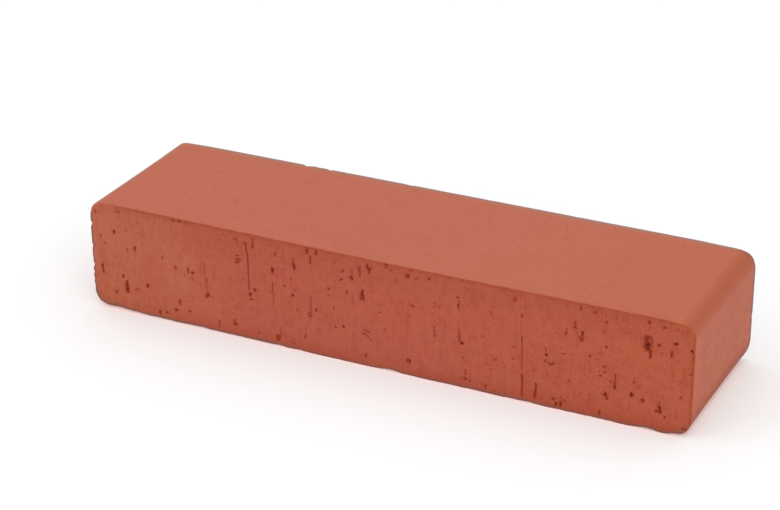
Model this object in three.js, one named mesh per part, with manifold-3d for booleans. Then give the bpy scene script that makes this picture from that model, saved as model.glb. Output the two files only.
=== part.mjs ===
// A solid clay brick: a column of clay pushed through a die, sliced by a wire and fired.
// Millimetres, +Z up. The origin is the middle of the bed, on the ground. +X runs along
// the brick, and the cut face with the named tears looks towards -Y.

import * as THREE from 'three';
import { mergeVertices } from 'three/addons/utils/BufferGeometryUtils.js';
import Module from 'manifold-3d';

// ---- Driving dimensions ----

const LENGTH = 240; // from end to end
const WIDTH = 65; // from cut face to cut face
const HEIGHT = 43.8; // from the bed to the top

// Corners of the clay column, which run from cut face to cut face.
const TOP_LEFT_RADIUS = 5.5;
const TOP_RIGHT_RADIUS = 6;
const LEFT_FOOT_RUN = 5.6; // the lower corners slumped: their reach along the bed
const LEFT_FOOT_RISE = 9; // and their reach up the end
const RIGHT_FOOT_RUN = 5;
const RIGHT_FOOT_RISE = 8.5;
const TOP_SAG = 0.2; // how far the middle of the top lies below the highest line

// The cut faces' arrises.
const ARRIS_BREAK = 0.4; // radius where a cut face meets the skin
const WEAR_RISE = 0.05; // least lift of the lower front arris, where the wire dragged it
const WEAR_REACH = 2.6; // how far behind the front face that lift fades out
const WEAR_TOP = 6; // how far up the front face that lift fades out

// ---- Steps of the faceted surface ----

const CORNER_STEPS = 5;
const ARRIS_STEP = 4; // longest facet along a straight stretch of the outline
const BREAK_RINGS = 2; // bands across an arris break
const WEAR_RINGS = 2; // bands across the worn arris
const SCOOP_SIDES = 10; // sides of a tear seen from the front
const SCOOP_RINGS = 6; // bands of the whole ball that a tear is cut with
const WELD = 1e-4; // vertices nearer than this are one

// ---- Places on the front face, measured from the nearer end and from the bed or the top ----

const fromLeft = (distance) => distance - LENGTH / 2;
const fromRight = (distance) => LENGTH / 2 - distance;
const fromTop = (distance) => HEIGHT - distance;

// Stretches where the lower front arris is worn further back.
const WORN_STRETCHES = [
  { x: fromLeft(7), rise: 0.85, reach: 9.5 },
  { x: fromLeft(36), rise: 0.42, reach: 34 },
  { x: fromLeft(62), rise: 0.2, reach: 6 },
  { x: fromRight(114.2), rise: 0.5, reach: 3.8 },
  { x: fromRight(75), rise: 0.15, reach: 45 },
  { x: fromRight(16.7), rise: 0.5, reach: 3.6 },
  { x: fromRight(4), rise: 0.85, reach: 3.8 },
];

// Tears that the wire pulled out of the front face. z is the height of the middle, and
// lean turns the tear's top to the right, in degrees.
const TEARS = [
  { x: fromLeft(14.6), z: 10.3, width: 1.8, height: 5.5, depth: 1.1 },
  { x: fromLeft(10), z: fromTop(11), width: 1.3, height: 1.8, depth: 0.9 },
  { x: fromLeft(61.6), z: 5.7, width: 1.4, height: 2.2, depth: 0.9 },
  { x: fromLeft(67.6), z: fromTop(13.3), width: 0.7, height: 20, depth: 0.6, lean: -1 },
  { x: fromLeft(78), z: fromTop(13.2), width: 1.2, height: 1.9, depth: 1.2 },
  { x: fromLeft(79.6), z: 3.4, width: 1.8, height: 2.6, depth: 0.9 },
  { x: fromLeft(114.5), z: fromTop(15.6), width: 1.7, height: 4.8, depth: 1.3, lean: -4 },
  { x: fromRight(87.6), z: fromTop(11.8), width: 0.9, height: 2.8, depth: 0.9 },
  { x: fromRight(84.6), z: 4.8, width: 1, height: 3.8, depth: 0.9 },
  { x: fromRight(57.6), z: 6.5, width: 1.1, height: 3, depth: 0.9 },
  { x: fromRight(41.2), z: fromTop(13.2), width: 1.5, height: 2.6, depth: 1, lean: 28 },
  { x: fromRight(31.4), z: 9.9, width: 1.5, height: 1.6, depth: 0.9 },
  { x: fromRight(22), z: 12.4, width: 1.4, height: 2.2, depth: 1 },
  { x: fromRight(17), z: fromTop(10.6), width: 2.5, height: 5.9, depth: 1.4, lean: -3 },
  { x: fromRight(15.8), z: fromTop(14.5), width: 0.9, height: 2.4, depth: 0.9 },
  { x: fromRight(11.7), z: 9.8, width: 1.2, height: 4.6, depth: 0.9 },
];

// Chips out of the arrises: of the upright front ones, and of the upper back one.
const CHIPS = [
  { x: fromLeft(0), z: fromTop(10.1), width: 1.8, height: 2.2, depth: 1.1 },
  { x: fromLeft(0), z: 16.7, width: 1.6, height: 2, depth: 1 },
  { x: fromRight(0), z: fromTop(9.7), width: 1.2, height: 1.6, depth: 0.8 },
  { x: fromLeft(58), y: WIDTH / 2, z: fromTop(0.3), width: 2.6, height: 1.4, depth: 1.1 },
  { x: fromLeft(68), y: WIDTH / 2, z: fromTop(0.2), width: 2, height: 1, depth: 0.9 },
];

// ---- Solids in and out of the boolean library ----

const wasm = await Module();
wasm.setup();

function toSolid(geometry) {
  geometry.deleteAttribute('normal');
  geometry.deleteAttribute('uv');
  const welded = mergeVertices(geometry, WELD);
  return new wasm.Manifold(new wasm.Mesh({
    numProp: 3,
    vertProperties: welded.attributes.position.array,
    triVerts: new Uint32Array(welded.index.array),
  }));
}

function toGeometry(solid) {
  const { vertProperties, triVerts } = solid.getMesh();
  const geometry = new THREE.BufferGeometry();
  geometry.setAttribute('position', new THREE.BufferAttribute(vertProperties, 3));
  geometry.setIndex(new THREE.BufferAttribute(triVerts, 1));
  geometry.computeVertexNormals();
  return geometry;
}

// ---- The clay column ----

// The die's opening as the fired clay keeps it, anticlockwise from the lower left corner.
function section() {
  const left = -LENGTH / 2;
  const right = LENGTH / 2;
  const outline = new THREE.Shape();
  outline.moveTo(left + LEFT_FOOT_RUN, 0);
  outline.lineTo(right - RIGHT_FOOT_RUN, 0);
  outline.absellipse(right - RIGHT_FOOT_RUN, RIGHT_FOOT_RISE, RIGHT_FOOT_RUN, RIGHT_FOOT_RISE,
    -Math.PI / 2, 0);
  outline.lineTo(right, HEIGHT - TOP_RIGHT_RADIUS);
  outline.absarc(right - TOP_RIGHT_RADIUS, HEIGHT - TOP_RIGHT_RADIUS, TOP_RIGHT_RADIUS,
    0, Math.PI / 2);
  // A quadratic curve's middle lies half way to its control point.
  outline.quadraticCurveTo((TOP_LEFT_RADIUS - TOP_RIGHT_RADIUS) / 2, HEIGHT - 2 * TOP_SAG,
    left + TOP_LEFT_RADIUS, HEIGHT);
  outline.absarc(left + TOP_LEFT_RADIUS, HEIGHT - TOP_LEFT_RADIUS, TOP_LEFT_RADIUS,
    Math.PI / 2, Math.PI);
  outline.lineTo(left, LEFT_FOOT_RISE);
  outline.absellipse(left + LEFT_FOOT_RUN, LEFT_FOOT_RISE, LEFT_FOOT_RUN, LEFT_FOOT_RISE,
    Math.PI, 1.5 * Math.PI);
  return outline;
}

// Points round the section: a few on each corner, and close ones on the straight
// stretches, so that the arrises can wave.
function outlinePoints() {
  return section().curves.flatMap((curve) => {
    const steps = curve.isEllipseCurve
      ? CORNER_STEPS
      : Math.ceil(curve.getLength() / ARRIS_STEP);
    return curve.getPoints(steps).slice(0, -1);
  });
}

// How far the outline shrinks at a distance behind a cut face: a quarter circle.
function shrinkAt(distance) {
  const short = Math.max(ARRIS_BREAK - distance, 0);
  return ARRIS_BREAK - Math.sqrt(ARRIS_BREAK ** 2 - short ** 2);
}

// How far the lower front arris is lifted at a place along the brick.
function wearAt(x) {
  return WORN_STRETCHES.reduce(
    (lift, spot) => lift + spot.rise * Math.exp(-(((x - spot.x) / spot.reach) ** 2)),
    WEAR_RISE,
  );
}

// Distances behind a face, from the face inwards: the arris break, then a worn band.
function ringDistances(withWear) {
  const broken = Array.from({ length: BREAK_RINGS + 1 },
    (_, i) => ARRIS_BREAK * (1 - Math.cos((i * Math.PI) / 2 / BREAK_RINGS)));
  const worn = Array.from({ length: WEAR_RINGS },
    (_, i) => ARRIS_BREAK + ((WEAR_REACH - ARRIS_BREAK) * (i + 1)) / WEAR_RINGS);
  return withWear ? [...broken, ...worn] : broken;
}

// One slice of the column: the outline shrunk by the arris break and lifted by the wear.
function ring(outline, y, shrink, wearShare) {
  const middle = HEIGHT / 2;
  return outline.map(({ x, y: z }) => {
    const lift = wearAt(x) * wearShare * Math.max(1 - z / WEAR_TOP, 0);
    return new THREE.Vector3(
      x * (1 - shrink / (LENGTH / 2)),
      y,
      middle + (z - middle) * (1 - shrink / middle) + lift,
    );
  });
}

// The whole column between its two cut faces, as one closed skin.
function column() {
  const outline = outlinePoints();
  const front = ringDistances(true).map((distance) => ring(
    outline,
    distance - WIDTH / 2,
    shrinkAt(distance),
    (1 - distance / WEAR_REACH) ** 2,
  ));
  const back = ringDistances(false).reverse()
    .map((distance) => ring(outline, WIDTH / 2 - distance, shrinkAt(distance), 0));
  const rings = [...front, ...back];
  const around = outline.length;
  const faces = [];
  for (let i = 0; i + 1 < rings.length; i += 1) {
    for (let j = 0; j < around; j += 1) {
      const next = (j + 1) % around;
      const [a, b] = [i * around + j, i * around + next];
      const [c, d] = [b + around, a + around];
      faces.push(a, d, c, a, c, b);
    }
  }
  const last = (rings.length - 1) * around;
  const flat = (points) => points.map((point) => new THREE.Vector2(point.x, point.z));
  for (const [a, b, c] of THREE.ShapeUtils.triangulateShape(flat(rings[0]), [])) {
    faces.push(a, b, c);
  }
  for (const [a, b, c] of THREE.ShapeUtils.triangulateShape(flat(rings.at(-1)), [])) {
    faces.push(last + a, last + c, last + b);
  }
  const geometry = new THREE.BufferGeometry().setFromPoints(rings.flat());
  geometry.setIndex(faces);
  return toSolid(geometry);
}

// ---- Tears and chips ----

// A stretched ball with its middle on a cut face, the front one unless y says otherwise.
function scoop({ x, y = -WIDTH / 2, z, width, height, depth, lean = 0 }) {
  const ball = new THREE.SphereGeometry(1, SCOOP_SIDES, SCOOP_RINGS);
  ball.scale(width / 2, depth, height / 2);
  ball.rotateY(THREE.MathUtils.degToRad(lean));
  ball.translate(x, y, z);
  return toSolid(ball);
}

// ---- The part ----

function brick() {
  const cut = [...TEARS, ...CHIPS].reduce(
    (clay, mark) => clay.subtract(scoop(mark)),
    column(),
  );
  const firedClay = new THREE.MeshStandardMaterial({
    color: 0xbe6c57,
    roughness: 0.9,
    metalness: 0,
  });
  const mesh = new THREE.Mesh(toGeometry(cut), firedClay);
  mesh.name = 'brick';
  return mesh;
}

const part = new THREE.Group();
part.add(brick());

export default part;
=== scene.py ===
import math

import bpy
import numpy as np
from mathutils import Matrix, Vector


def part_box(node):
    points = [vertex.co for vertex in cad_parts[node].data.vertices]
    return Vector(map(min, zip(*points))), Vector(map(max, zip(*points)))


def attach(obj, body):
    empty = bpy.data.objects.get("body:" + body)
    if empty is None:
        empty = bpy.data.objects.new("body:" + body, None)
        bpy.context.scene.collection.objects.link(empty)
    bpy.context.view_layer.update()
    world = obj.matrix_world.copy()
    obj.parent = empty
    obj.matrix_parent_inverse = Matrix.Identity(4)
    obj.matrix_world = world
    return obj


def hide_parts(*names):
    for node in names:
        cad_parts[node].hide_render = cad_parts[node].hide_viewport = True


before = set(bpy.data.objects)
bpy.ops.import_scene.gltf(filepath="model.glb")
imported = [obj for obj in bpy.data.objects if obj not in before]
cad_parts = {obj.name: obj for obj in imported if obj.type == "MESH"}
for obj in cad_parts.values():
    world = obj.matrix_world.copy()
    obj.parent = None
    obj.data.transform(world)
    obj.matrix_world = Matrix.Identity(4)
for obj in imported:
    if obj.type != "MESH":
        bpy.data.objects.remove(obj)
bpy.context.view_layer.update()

bl_info = {
    "name": "Clay Brick",
    "version": (1, 0, 0),
    "blender": (4, 5, 0),
    "location": "3D View > Sidebar > Clay Brick",
    "description": "Makes an extruded, wire-cut clay brick and the stage it lies on",
    "category": "Object",
}

MM = 0.001  # one millimetre, in Blender's metres
BRICK_LOW, BRICK_HIGH = (np.array(corner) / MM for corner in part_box("brick"))
LENGTH, WIDTH, HEIGHT = BRICK_HIGH - BRICK_LOW

# ---- Tears that the cutting wire pulled out of the front face, in millimetres ----
#
# Each tear is the middle's distance from the left end and from the bed, then its width, its
# height and how deep it is and how dark the shade painted inside it is, from 0 to 1, or above 1
# if its floor is nearly black.
# A sixth number leans its top to the right, or lifts the right of a wide one, in degrees.

LEFT_TEARS = (
    (10.1, 32.5, 1.1, 1.6, 0.85), (18.9, 27.2, 0.8, 2.2, 0.95), (4, 16.9, 0.8, 2.2, 1),
    (4.4, 15, 0.8, 1.6, 0.8), (13.2, 14.6, 0.9, 1.6, 0.85), (14.7, 11.9, 0.9, 3.2, 0.8),
    (14.3, 9.7, 1.6, 3.8, 0.97, 3), (15, 9, 0.9, 2.8, 0.9), (23.8, 12.7, 1.2, 1.5, 1),
    (36, 5.3, 1.6, 1.2, 0.84), (37.9, 8.7, 1, 2.6, 0.6, -12), (10, 7.4, 1.1, 1.5, 0.55),
    (19.1, 10.3, 1.4, 0.9, 0.65), (36.5, 23, 1.1, 1.6, 0.5), (42, 23.1, 0.8, 2.6, 0.75),
    (43.8, 22.3, 1.1, 1.4, 0.82), (43.7, 19.8, 0.5, 1.5, 0.75), (31, 26.1, 0.9, 1.5, 0.5),
    (5.9, 27.1, 0.9, 1, 0.5), (3.9, 29.7, 0.8, 1.4, 0.5), (15.8, 26.2, 0.6, 1.8, 0.35),
    (15.5, 34.3, 1, 1.6, 0.2), (12.5, 41.4, 2, 1.8, 0.32), (2.3, 39.6, 0.8, 2, 0.45),
    (36.6, 42.6, 1.9, 1.1, 0.42), (39.3, 42.8, 1.6, 1, 0.45), (40.4, 20.8, 0.8, 0.9, 0.35),
    (42.1, 6, 1.2, 1, 0.7), (31.8, 3.3, 1.3, 1.1, 0.82), (28.9, 2.7, 1.4, 1.9, 0.55),
    (49.1, 25, 0.4, 6, 0.42, -3), (49.6, 20.5, 0.6, 2.2, 0.6, -2), (49.9, 17, 0.45, 5, 0.45, -2),
    (47.9, 23.6, 0.4, 1.8, 0.15), (50.2, 14.3, 1.8, 1.2, 0.95), (49.6, 13.7, 1, 1.1, 0.9),
    (50.3, 15.4, 0.5, 1.2, 0.6), (54.6, 3.5, 0.7, 3.8, 0.57), (61.3, 6.4, 0.8, 1.4, 0.55),
    (61.7, 5.1, 1.5, 1.3, 0.76), (62.8, 40.1, 1.6, 0.5, 0.7), (63.3, 33.4, 1.6, 0.5, 0.8),
    (63.7, 32, 2.6, 0.8, 0.76), (63.1, 30.7, 2.3, 0.85, 0.75), (67.1, 37.6, 0.6, 5, 0.7, -7),
    (67.75, 28, 0.5, 15.5, 0.75, -1), (66.2, 39, 0.5, 2.2, 0.35), (69.9, 38.3, 1.3, 0.85, 1.1),
    (69.9, 40.4, 0.6, 3.2, 0.65), (68.2, 18.8, 1.2, 1.6, 0.95), (70.3, 20.9, 1.2, 1.1, 0.95),
    (68.7, 16.7, 1.9, 1, 0.45), (79, 37.5, 0.9, 2, 0.6), (77.9, 30.4, 0.9, 2.4, 1),
    (77.7, 31.4, 0.4, 1.6, 0.5), (77.8, 23.4, 0.4, 4.6, 0.7), (78.1, 19.6, 0.4, 3.6, 0.5),
    (86.7, 36, 0.6, 2.6, 0.65), (86.9, 33.7, 0.9, 2.6, 0.95, -4), (86.1, 22, 1.1, 1.4, 0.95),
    (82.8, 25.2, 1, 1, 0.55), (86.8, 24.4, 0.7, 1.2, 0.35), (85.7, 28.7, 1.1, 0.7, 0.45),
    (88, 16.4, 1, 0.9, 0.35), (82.9, 15.5, 0.7, 0.7, 0.25), (72.7, 12.2, 0.7, 0.9, 0.28),
    (65.5, 24.7, 0.9, 0.8, 0.5), (79.6, 3.3, 2.1, 3, 0.6), (81, 6, 0.45, 4, 0.3),
    (71.5, 3.3, 1, 1.2, 0.45), (86.2, 2.2, 0.9, 0.8, 0.6),
)
MIDDLE_TEARS = (
    (92.2, 41, 1.4, 2.3, 0.65), (96, 41.5, 0.9, 1.9, 0.8), (93.6, 38.1, 0.8, 3.4, 0.7),
    (106.6, 36.1, 0.9, 1.7, 0.73, 25), (106.3, 32.8, 1, 0.8, 0.9), (110.3, 34.3, 1.3, 1.6, 1.15),
    (110.5, 36.6, 0.45, 3.2, 0.6), (113.7, 37.5, 0.6, 4.4, 0.68), (114.5, 38.9, 1, 0.4, 0.35),
    (114.6, 37.9, 1, 0.4, 0.4), (116.7, 40.3, 0.8, 1.8, 0.9, -10), (117.3, 38.6, 1.1, 2.8, 1, -8),
    (117.9, 39.4, 0.5, 1.5, 0.6), (124.3, 42.3, 1.1, 2.6, 0.55), (132.7, 39.8, 1.7, 1.2, 0.72),
    (126, 40.5, 1.2, 0.8, 0.3), (128.3, 37, 1.4, 0.8, 0.35), (136.6, 39.6, 1, 0.9, 0.35),
    (134.2, 42.3, 0.8, 1.6, 0.3), (114.6, 29.4, 0.8, 2.6, 0.95), (114.1, 27.4, 0.7, 2.6, 0.9),
    (114.95, 27.2, 0.6, 2.6, 1), (108.5, 28, 0.6, 1.6, 0.8), (100.8, 28, 1.4, 0.8, 0.75),
    (93.6, 19, 0.45, 9, 0.55), (92.7, 16.1, 0.7, 1.6, 0.65), (93.3, 15.2, 1.3, 1, 0.72),
    (95.7, 18.4, 0.8, 1.7, 0.75), (103, 20.5, 0.8, 1.2, 0.3), (103.8, 13.1, 0.7, 0.7, 0.85),
    (106.8, 13.8, 1.1, 0.9, 1.05), (116.4, 14, 3, 0.5, 0.85, -13),
    (116.3, 12.3, 2.7, 0.5, 0.75, -22),
    (115.1, 12.8, 1, 0.7, 0.8), (118.2, 11.2, 1.2, 0.7, 0.15), (121.8, 23, 1.3, 0.5, 0.75),
    (123.5, 16.3, 0.8, 1, 0.4), (91.3, 8.2, 0.45, 4, 0.3), (91.2, 6.4, 0.8, 1.1, 0.6),
    (115.8, 4.4, 1, 2, 0.45), (133, 5.9, 2, 1.9, 0.88), (132.6, 21.5, 0.4, 16, 0.05),
    (140.9, 40.2, 0.9, 0.9, 0.85), (134.5, 28.3, 0.9, 0.8, 0.65), (143.3, 31, 1, 1, 0.45),
    (142.9, 29.7, 1.2, 0.6, 0.35), (145.1, 30.4, 0.8, 1.2, 0.35), (152.1, 35.4, 1.2, 0.7, 0.8),
    (152.3, 34, 0.9, 0.5, 0.75), (152.7, 33.4, 0.8, 0.4, 0.5), (152.5, 32, 0.7, 2.4, 0.75),
    (156.5, 33.5, 1, 0.8, 0.2), (164.8, 32.5, 1, 1.2, 0.35), (147, 23.5, 1, 0.8, 0.15),
    (143.2, 20.6, 0.4, 3.6, 0.52), (143.3, 18.3, 0.8, 0.9, 0.65), (152.7, 22.4, 0.5, 3, 0.5, -4),
    (153, 19.2, 0.6, 3.2, 0.7), (153.8, 17.7, 1.2, 1.6, 0.95), (154.6, 12.2, 0.8, 0.9, 0.6),
    (155.3, 7.2, 0.7, 1.2, 0.4), (155.4, 5.6, 0.7, 1.5, 0.45), (155.5, 3.8, 1, 1.6, 0.85),
    (157.2, 3.3, 0.9, 1.2, 0.6), (163.3, 2.6, 0.7, 2.2, 0.65), (163, 11.7, 0.9, 0.9, 0.15),
    (166.7, 14.2, 1.3, 0.7, 0.5), (170.4, 11.8, 1, 0.9, 0.25),
)
RIGHT_TEARS = (
    (174, 39.2, 1.1, 1.2, 0.6), (174, 40.6, 0.7, 1.2, 0.4), (176.5, 33.6, 1, 1.3, 0.5),
    (174.3, 20.9, 1.1, 0.8, 0.4), (173.7, 16.2, 0.9, 0.9, 0.5), (176.8, 24.4, 0.4, 2.6, 0.85),
    (177, 17.8, 0.4, 11, 0.6, -1), (177.2, 10.2, 0.8, 1.4, 0.6), (177.3, 5.7, 0.8, 8, 0.62),
    (182.5, 6, 0.8, 4.8, 0.76), (182.1, 3.4, 1.1, 3.2, 0.7), (186.1, 20.4, 0.9, 1.5, 0.85),
    (186, 22.5, 0.6, 1.7, 0.45), (185.8, 18, 0.7, 0.8, 0.82), (186.5, 13.2, 0.5, 2.2, 0.28),
    (187.8, 17.2, 0.7, 0.8, 0.85), (188.8, 17.4, 0.7, 0.8, 0.85), (181.9, 13.5, 0.7, 0.9, 0.35),
    (193.3, 30.6, 1, 1.1, 0.76), (193.5, 31.9, 0.6, 1.2, 0.5), (196.6, 33.6, 1.4, 0.9, 0.7),
    (196.5, 35, 0.5, 2.2, 0.52), (199.2, 31.5, 0.9, 2.6, 0.82), (198.5, 29.8, 0.8, 1.2, 0.95),
    (199, 29.2, 1.5, 0.8, 0.85), (199.7, 29.7, 0.5, 0.9, 0.6), (198.4, 41.6, 0.8, 2.3, 0.5),
    (203.7, 40.9, 1, 0.55, 0.85), (208, 38, 1.1, 0.9, 0.8), (207, 34.3, 0.9, 1, 0.45),
    (208.1, 28.5, 1.1, 0.9, 0.95), (202.3, 23.8, 0.8, 1.1, 0.6), (204.9, 23.1, 0.6, 0.8, 0.4),
    (192.8, 22.3, 1.4, 0.6, 0.55), (190.2, 12.7, 0.7, 0.7, 0.2), (207.7, 20.8, 1.4, 0.6, 0.65),
    (208, 18.7, 1.2, 0.8, 0.5), (206.3, 16.9, 0.8, 0.8, 0.65), (211.9, 17.4, 0.5, 3, 0.7),
    (211.8, 14.9, 0.6, 2.2, 0.7), (211.7, 13.4, 0.8, 1.4, 0.93), (210.3, 15.4, 0.8, 0.9, 0.65),
    (212.9, 14.6, 0.4, 2.2, 0.22), (218.7, 17.4, 0.7, 1.4, 0.6), (217.9, 12.3, 0.8, 2, 0.8),
    (218, 11.9, 1.2, 1.1, 1.04), (208.6, 9.8, 1.8, 1.2, 1.08), (208.7, 10.6, 0.6, 1.3, 0.85),
    (209.1, 8.7, 0.9, 1.5, 0.93), (202.9, 7, 0.7, 0.8, 0.25), (189.2, 3.8, 1.3, 1.3, 0.75),
    (190.2, 1.8, 0.9, 1.8, 0.95), (191.9, 2.4, 0.8, 2.8, 0.78), (190.8, 4.2, 1.5, 0.5, 0.45),
    (193.6, 4, 1.6, 0.6, 0.5), (192.2, 4.9, 0.5, 1.2, 0.5), (206.6, 2.6, 0.7, 2.4, 0.7),
    (195, 12.3, 0.9, 1, 0.45), (223.1, 35.6, 2.7, 1.4, 0.55), (222.4, 34.2, 2.1, 3, 0.85),
    (222.9, 32.2, 2.1, 3.6, 0.82), (224.5, 33.3, 0.9, 4.2, 0.35), (222, 32.1, 1, 1.8, 1.28),
    (223.1, 32.1, 1.2, 2.2, 1.25), (223.1, 30.9, 1.7, 1.1, 1.15), (224.1, 29.3, 0.9, 3.6, 0.84, -4),
    (223.2, 41.1, 0.8, 1.5, 0.75), (228.7, 40.4, 1, 0.7, 0.82), (233.2, 35.3, 1.4, 1.1, 1.2, 30),
    (239, 33.8, 1.6, 1.3, 1.28), (227, 33.4, 0.9, 1.5, 0.75), (231.7, 30.9, 0.8, 2.5, 0.75),
    (239.4, 31.2, 0.7, 0.9, 0.6), (239.5, 26, 0.6, 1.2, 0.65), (238.8, 24.7, 1.2, 0.6, 0.6),
    (222.3, 10.9, 1.6, 1.6, 0.75), (228.3, 11.3, 0.6, 1.9, 0.55), (228.2, 9.7, 1.15, 1.2, 1.1),
    (228.5, 8.2, 0.9, 2.1, 1.08), (227.2, 8.1, 1.3, 1.1, 0.95), (230.4, 6.4, 0.6, 1.5, 0.75),
    (235.7, 15.4, 1, 1.2, 0.45), (239.2, 6.1, 0.6, 0.9, 0.6), (237.7, 3.2, 2.2, 1, 0.75),
)
FRONT_TEARS = LEFT_TEARS + MIDDLE_TEARS + RIGHT_TEARS

# Chips out of the front and of the back arris: the distance from the left end and from the
# bed, size and reach. A size below 0 leaves the arris sharper.
FRONT_CHIPS = (
    (0, 39.6, 0.5, 0.9), (0, 34.1, 1.5, 0.75), (0, 25, 0.7, 0.9), (0, 19.6, 0.4, 1.1),
    (0, 17, 1.4, 0.9), (0, 13.9, 0.9, 0.6), (0, 11, 0.6, 0.8), (0, 8, 0.8, 1.4),
    (240, 36, 0.3, 0.5), (240, 34.1, 0.7, 0.8),
    (240, 31, 0.4, 0.6), (240, 26.1, 0.6, 0.6), (240, 22.5, 0.4, 0.5), (240, 19, 0.5, 0.6),
    (240, 15.5, 0.4, 0.5), (240, 12, 0.6, 0.6), (64, 43.8, 0.3, 1.5), (125, 43.8, 0.35, 1.2),
    (226.5, 43.8, 0.3, 1.2), (233.5, 43.8, 0.5, 3), (2.5, 42.3, 0.7, 3.5), (0, 31, -0.3, 1.8),
    (97, 0, -0.3, 5), (112.5, 0, -0.3, 4.5), (141, 0, -0.3, 3.5), (186, 0, -0.3, 3),
)
BACK_CHIPS = (
    (58.3, 43.8, 1.2, 0.7), (59.5, 43.8, 0.5, 1.1), (61.6, 43.8, -0.2, 1), (68.5, 43.8, 1, 0.7),
    (103, 43.8, 0.4, 1.5), (171, 43.8, 0.35, 1.2), (2.5, 43, 1, 3), (8, 43.8, 0.4, 5),
    (230, 43.8, 0.6, 9), (234.9, 43.6, 0.8, 2.2), (239.3, 39, 0.5, 1.6), (0, 24, 0.6, 1),
    (240, 18, 0.6, 1.2), (150, 0, 0.7, 1.4),
)
# Stretches where the lower front arris is worn further back, or less far: x, rise and reach.
WORN_STRETCHES = (
    (7, 1.2, 9.5), (1, -0.2, 1.5), (10.4, 0.9, 2.3), (19, 0.25, 4), (28, 0.15, 4), (36, 0.42, 34),
    (46.5, 0.2, 3), (64.5, 0.15, 4), (80, 0.3, 2.6), (90, 0.2, 3), (98, -0.3, 6), (113, -0.3, 4.5),
    (125.8, 0.72, 3.4), (141, -0.25, 3.5), (153, -0.15, 3), (160.5, 0.15, 2), (165, 0.12, 45),
    (168.5, -0.2, 4), (178.5, 0.15, 4), (186, -0.25, 3), (202.5, 0.2, 1.6), (219, 0.2, 2.5),
    (223.8, 0.8, 3.2), (236, 1.4, 3.6),
)


# ---- What a user would change ----


def number(name, description, default, **rest):
    """A property for a number from 0 up."""
    return bpy.props.FloatProperty(
        name=name, description=description, default=default, min=0.0, **rest
    )


def length(name, description, default):
    """A property for a length, which is given here in millimetres."""
    return number(name, description, default * MM, unit="LENGTH", precision=5)


def colour(name, description, default):
    """A property for a colour, as linear red, green and blue."""
    return bpy.props.FloatVectorProperty(
        name=name, description=description, default=default, min=0.0, max=1.0, subtype="COLOR"
    )


class ClaySizes(bpy.types.PropertyGroup):
    """Sizes of the die's corners, of the arrises and of the torn faces."""

    top_left: length("Top left corner", "Its radius in front", 5.5)
    top_right: length("Top right corner", "Its radius in front", 6.0)
    right_growth: length("Top right growth", "How much larger it is at the back", 0.35)
    left_loss: length("Top left loss", "How much smaller it is at the back", 0.9)
    heel_growth: length("Right foot growth", "How much larger it is behind the front face", 1.1)
    heel_run: length("Right foot run", "Its reach along the bed", 5.0)
    heel_rise: length("Right foot rise", "Its reach up the end", 8.5)
    foot_run: length("Left foot run", "Its reach along the bed", 5.6)
    foot_rise: length("Left foot rise", "Its reach up the end", 9.0)
    top_sag: length("Top sag", "How far the middle of the front top arris lies below its ends", 0.5)
    arris: length("Arris break", "Radius where a cut face meets the skin", 0.18)
    ragged: length("Ragged arris", "How much that radius comes and goes", 0.2)
    wear_rise: length("Arris wear", "Least lift of the lower front arris", 0.05)
    wear_reach: length("Wear reach", "How far behind the face that lift fades out", 2.6)
    wear_top: length("Wear top", "How far up the face that lift fades out", 6.0)
    tear_depth: length("Tear depth", "Depth of the darkest tears", 0.9)
    streak_depth: length("Streak depth", "Depth of the wire's drag lines", 0.04)
    step: length("Grid step", "Distance between the surface's points on a cut face", 0.517)


class ClayColours(bpy.types.PropertyGroup):
    """Colours of the fired clay."""

    skin: colour("Die skin", "Top and bed", (0.503, 0.1294, 0.0706))
    skin_deep: colour("Deep skin", "Darker clouds in the die skin", (0.471, 0.1138, 0.0574))
    end: colour("Paler skin", "The ends, where the skin is paler", (0.538, 0.143, 0.0757))
    end_edge: colour("Rubbed end", "The ends next to the front face", (0.59, 0.138, 0.061))
    corner: colour("Die corner", "Polished bands along the die's corners", (0.4, 0.085, 0.035))
    # Painted shade: the foot colour darkens the skin towards the bed, on the ends and on the bed
    # itself, below 13 mm.
    foot: colour("Foot", "The ends next to their rounded lower corner", (0.33, 0.072, 0.032))
    cut: colour("Cut face", "Where the wire went through", (0.465, 0.1112, 0.0676))
    cut_pale: colour("Pale cut face", "Where it dried paler, at its left", (0.487, 0.137, 0.0745))
    cut_edge: colour("Dusty cut face", "Next to the left arris", (0.487, 0.184, 0.11))
    cut_deep: colour("Drag lines", "Darker streaks on a cut face", (0.404, 0.0836, 0.048))
    # The tear and deep tear colours are painted shade inside the tears; the first also darkens the
    # specks on the top.
    tear: colour("Tears", "Inside a tear", (0.27, 0.02, 0.003))
    pit: colour("Deep tears", "Inside the deepest tears", (0.13, 0.012, 0.003))
    bruise: colour("Bruise", "Band that the wire bruised along the arrises", (0.28, 0.046, 0.019))
    # Rim colours: a dark rim along the arrises, which is painted shade along the bed, under the
    # right end and in the large tear.
    rim: colour("Sooty rim", "Thin rim along the arrises of a cut face", (0.235, 0.105, 0.08))
    top_rim: colour("Top rim", "Rim along the back arris of the top", (0.315, 0.195, 0.158))
    left_rim: colour("Left rim", "Pale rim along the rounded top left corner", (0.44, 0.19, 0.133))
    end_rim: colour("End rim", "Rim along the back arrises of the ends", (0.2, 0.105, 0.095))
    warmth: colour("Warmer right end", "What multiplies the clay there", (0.995, 0.98, 0.885))


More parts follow.
